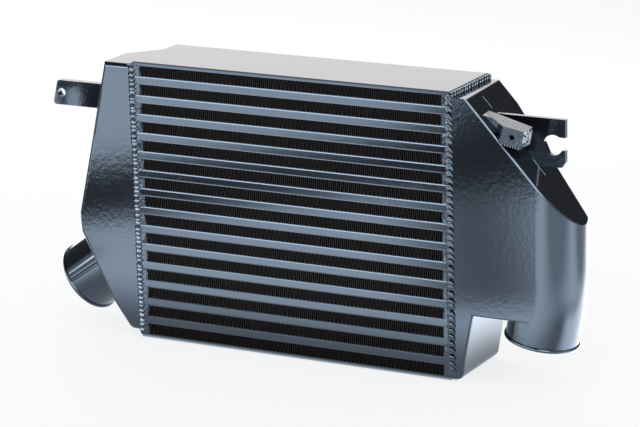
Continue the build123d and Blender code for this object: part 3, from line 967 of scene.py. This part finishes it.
def fade_to_edge(tree, away_from_middle, half, soft):
    """A factor that falls from 1 to 0 over a soft strip along two opposite edges of a card."""
    away = add_node(tree, "ShaderNodeMath", {0: away_from_middle}, operation="ABSOLUTE")
    fade = add_node(
        tree,
        "ShaderNodeMapRange",
        {"Value": away.outputs[0]},
        {"From Min": half - min(soft, half), "From Max": half, "To Min": 1.0, "To Max": 0.0},
        interpolation_type="SMOOTHSTEP",
    )
    return fade.outputs[0]


def card_material(name, size, radiance, soft, cover, tint):
    material = bpy.data.materials.new(name)
    material.use_nodes = True
    tree = material.node_tree
    tree.nodes.clear()
    place = add_node(tree, "ShaderNodeTexCoord").outputs["Object"]
    axes = add_node(tree, "ShaderNodeSeparateXYZ", {0: place})
    fades = [fade_to_edge(tree, axes.outputs[axis], size[axis] / 2, soft) for axis in (0, 1)]
    both = add_node(tree, "ShaderNodeMath", {0: fades[0], 1: fades[1]}, operation="MULTIPLY")
    covered = add_node(
        tree, "ShaderNodeMath", {0: both.outputs[0]}, {1: cover}, operation="MULTIPLY"
    )
    clear = add_node(tree, "ShaderNodeBsdfTransparent")
    glowing = add_node(
        tree, "ShaderNodeEmission", None, {"Color": linear(tint), "Strength": radiance}
    )
    mix = add_node(
        tree,
        "ShaderNodeMixShader",
        {0: covered.outputs[0], 1: clear.outputs[0], 2: glowing.outputs[0]},
    )
    add_node(tree, "ShaderNodeOutputMaterial", {"Surface": mix.outputs[0]})
    return material


def add_card(name, place, size, facing, turn, radiance, soft, cover=1.0, tint="#f2f7ff"):
    """A card at a place, turned by degrees in its plane; cover is how much its middle hides."""
    deselect_all()
    bpy.ops.mesh.primitive_plane_add(size=1, location=(0, 0, 0))
    card = bpy.context.object
    card.data.transform(Matrix.Diagonal((size[0], size[1], 1, 1)))
    card.name = name
    card.rotation_mode = "QUATERNION"
    card.rotation_quaternion = Vector(facing).to_track_quat("Z", "Y") @ Quaternion(
        (0, 0, 1), radians(turn)
    )
    card.location = place
    card.data.materials.append(card_material(name, size, radiance, soft, cover, tint))
    for kind in ("camera", "diffuse", "transmission", "volume_scatter", "shadow"):
        setattr(card, "visible_" + kind, False)
    cards.append(card)


# %% [markdown]
# The upright faces look down at the floor from the camera's height, so what they show lies flat in
# front of the object: a large bright card turns them slate, and dark ones on top of it draw the
# black bands across the core and the tanks. A few hand-sized cards serve one part each. Painting
# those bands into the coat would be quicker, but they would stay put when the object turns.

# %% Cards on the floor and around one part
# Name, place, size, what it faces, turn in degrees, radiance, width of the soft edge
add_card("bright_floor", (-0.1, 0.0, 0.0004), (3.6, 3.6), up, 0, 3.9, 0.7)
add_card("dim_right_back", (1.00, 0.75, 0.0008), (1.3, 1.5), up, 0, 1.3, 0.25)
add_card("dim_right", (0.78, -0.75, 0.0010), (1.15, 1.5), up, 0, 1.5, 0.3, cover=0.9)
add_card("dim_front", (-0.072, -0.605, 0.0011), (0.25, 0.88), up, -27.9, 0.35, 0.115, cover=0.85)
add_card("dark_strip", (-0.372, -0.641, 0.0012), (1.0, 0.39), up, -44, 0.03, 0.12)
add_card("dark_far", (-0.16, -0.98, 0.0016), (0.42, 0.72), up, -20, 0.03, 0.14)
add_card("foot_shade", (0.02, -0.02, 0.0020), (1.02, 0.44), up, 0, 0.2, 0.17, cover=0.78)
add_card("left_shade", (-1.22, -0.12, 0.0018), (0.94, 0.98), up, 0, 0.03, 0.08)
add_card("bright_behind", (0.318, 0.13, 0.0026), (0.27, 0.40), up, 0, 4.8, 0.06)
add_card("pipe_shade", (-0.465, -0.18, 0.0024), (0.25, 0.26), up, 0, 0.25, 0.05, cover=0.85)
add_card("bead_window", (0.175, 0.02, 0.42), (0.16, 0.20), (0, 0, -1), 0, 9.0, 0.02)

# The ear mirrors a black frame, made of four strips.
for end, place, size in (
    ("root", (-0.310, -0.146, 0.196), (0.036, 0.050)),
    ("top", (-0.330, -0.146, 0.2125), (0.060, 0.014)),
    ("tip", (-0.3505, -0.146, 0.196), (0.014, 0.050)),
    ("low", (-0.330, -0.146, 0.1775), (0.060, 0.012)),
):
    add_card("ear_flag_" + end, place, size, (0.452, 0.852, 0.263), 0, 0.02, 0.004)
print("cards so far:", len(cards))

# %% [markdown]
# The rest of the studio stands further off: a warm panel behind for the top of the object, windows in
# front and at the side for the glints on edges and crests, and dark walls where nothing should show.

# %% Cards that stand around the object
# Name, place, size, what it faces, turn in degrees, radiance, width of the soft edge
add_card(
    "back_panel", (-1.05, 1.95, 0.55), (3.2, 1.5), (0.47, -0.88, -0.1), 0, 2.05, 0.15, tint="#fff8f6"
)
add_card("low_window", (-0.85, -2.2, 0.62), (3.4, 0.8), (0.40, 0.92, 0), 0, 10.0, 0.12)
add_card("side_window", (1.0, -0.95, 0.95), (0.8, 0.8), (-0.6, 0.6, -0.5), 0, 13.0, 0.1)
add_card("dark_ceiling", (-0.2, -0.3, 1.9), (3.6, 3.0), (0, 0, -1), 0, 0.05, 0.3)
add_card("dark_right_back", (1.0, 1.7, 0.9), (1.9, 2.0), (-0.5, -0.85, 0), 0, 0.08, 0.3)
add_card("dark_left", (-1.5, 0.3, 0.5), (2.2, 1.2), (1, 0, 0), 0, 0.1, 0.3)
print("cards in all:", len(cards))

# %% [markdown]
# Behind everything is a plain white world. It could be an image of a room, but the cards already say
# what the coat mirrors. The camera and reflections see it as pure white, and it sheds only half as
# much light, so that the lamps still shape the object.

# %% World
shed_light = 0.55
seen_light = 1.0
world = bpy.data.worlds.new("studio")
bpy.context.scene.world = world
world.use_nodes = True
world_tree = world.node_tree
background = world_tree.nodes["Background"]
background.inputs["Color"].default_value = white
seen = add_node(world_tree, "ShaderNodeLightPath")
either = add_node(
    world_tree,
    "ShaderNodeMath",
    {0: seen.outputs["Is Camera Ray"], 1: seen.outputs["Is Glossy Ray"]},
    operation="MAXIMUM",
)
strength = add_node(
    world_tree,
    "ShaderNodeMapRange",
    {"Value": either.outputs[0]},
    {"To Min": shed_light, "To Max": seen_light},
)
world_tree.links.new(strength.outputs[0], background.inputs["Strength"])
print("world:", world.name)

# %% [markdown]
# Three large soft lamps light what doesn't mirror: the fins, the paper and the coat's own colour. A
# small lamp would throw a hard shadow that the photo doesn't have. Each is set by its radiance, so
# its size can change and its brightness stays.

# %% Lamps
lamp_aim = Vector((0, 0, 0.14))


def add_lamp(name, place, size, radiance):
    """A soft rectangular lamp that faces the object; the cards take care of its reflections."""
    lamp = bpy.data.lights.new(name, "AREA")
    lamp.shape = "RECTANGLE"
    lamp.size, lamp.size_y = size
    lamp.energy = radiance * size[0] * size[1] * pi
    holder = bpy.data.objects.new(name, lamp)
    holder.location = place
    holder.rotation_mode = "QUATERNION"
    holder.rotation_quaternion = (Vector(place) - lamp_aim).to_track_quat("Z", "Y")
    holder.visible_camera = False
    holder.visible_glossy = False
    bpy.context.scene.collection.objects.link(holder)


add_lamp("key_lamp", (-1.6, -1.8, 2.2), (1.4, 1.4), 1.6)
add_lamp("back_lamp", (-1.0, 1.8, 1.6), (2.0, 1.2), 1.2)
add_lamp("side_lamp", (2.2, -0.6, 1.2), (1.0, 1.6), 1.0)
print("lamps:", len(bpy.data.lights))

# %% [markdown]
# The Standard view shows each colour about as it is written, where a filmic one would grey the white
# paper.

# %% Finish
bpy.context.scene.view_settings.view_transform = "Standard"
